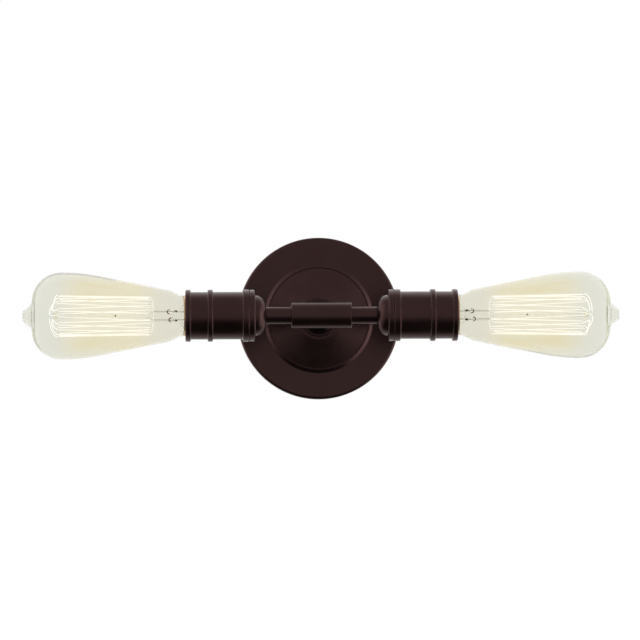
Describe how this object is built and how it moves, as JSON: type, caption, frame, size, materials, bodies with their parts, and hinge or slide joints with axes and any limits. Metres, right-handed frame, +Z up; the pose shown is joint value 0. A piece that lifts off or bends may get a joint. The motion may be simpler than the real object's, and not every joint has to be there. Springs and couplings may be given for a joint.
{
  "type": "wall sconce",
  "caption": "Wall light with a round stepped canopy, a short stem, a cross hub and two sideways screw sockets, each with a long amber filament bulb.",
  "frame": {"origin": "centre of the canopy's back rim, on the wall", "axes": "+X along the two bulbs, to the right as the room sees it, +Y into the wall, +Z up"},
  "size_m": [0.4362, 0.107, 0.1206],
  "materials": {
    "bronze": "satin",
    "zinc_steel": "satin",
    "green_steel": "satin",
    "brass": "polished",
    "ground_wire": "satin",
    "black_wire": "satin",
    "white_wire": "satin",
    "wire_nut_plastic": "satin",
    "liner_card": "matte",
    "porcelain": "gloss",
    "solder": "satin",
    "black_glass": "gloss",
    "bulb_glass": "gloss",
    "stem_glass": "gloss",
    "dark_wire": "satin",
    "glowing_wire": "satin"
  },
  "bodies": {
    "root": {"canopy": "bronze", "mounting_strap": "zinc_steel", "canopy_studs": "zinc_steel", "stud_locknuts": "zinc_steel", "cap_nuts": "bronze", "ground_screw": "green_steel", "ground_terminal": "brass", "ground_lead": "ground_wire", "wire_nuts": "wire_nut_plastic", "stem_collar": "bronze", "stem": "bronze", "stem_nipple": "zinc_steel", "stem_lockwasher": "zinc_steel", "stem_locknut": "zinc_steel", "hub": "bronze", "arm_left": "bronze", "cap_nipple_left": "zinc_steel", "cap_locknut_left": "zinc_steel", "socket_cap_left": "bronze", "socket_shell_left": "bronze", "socket_liner_left": "liner_card", "lampholder_left": "porcelain", "terminal_screws_left": "brass", "screw_shell_left": "brass", "centre_contact_left": "brass", "arm_right": "bronze", "cap_nipple_right": "zinc_steel", "cap_locknut_right": "zinc_steel", "socket_cap_right": "bronze", "socket_shell_right": "bronze", "socket_liner_right": "liner_card", "lampholder_right": "porcelain", "terminal_screws_right": "brass", "screw_shell_right": "brass", "centre_contact_right": "brass", "black_lead_left": "black_wire", "white_lead_left": "white_wire", "black_lead_right": "black_wire", "white_lead_right": "white_wire"},
    "left_bulb": {"bulb_tip_left": "solder", "bulb_insulator_left": "black_glass", "bulb_base_left": "brass", "bulb_glass_left": "bulb_glass", "glass_stem_left": "stem_glass", "support_wires_left": "dark_wire", "lead_in_wires_left": "dark_wire", "filament_left": "glowing_wire"},
    "right_bulb": {"bulb_tip_right": "solder", "bulb_insulator_right": "black_glass", "bulb_base_right": "brass", "bulb_glass_right": "bulb_glass", "glass_stem_right": "stem_glass", "support_wires_right": "dark_wire", "lead_in_wires_right": "dark_wire", "filament_right": "glowing_wire"}
  },
  "joints": [
    {"name": "left_bulb_unscrews", "type": "slide", "parent": "root", "child": "left_bulb", "axis": [-1, 0, 0], "range_m": [0, 0.03]},
    {"name": "right_bulb_unscrews", "type": "slide", "parent": "root", "child": "right_bulb", "axis": [1, 0, 0], "range_m": [0, 0.03]}
  ]
}
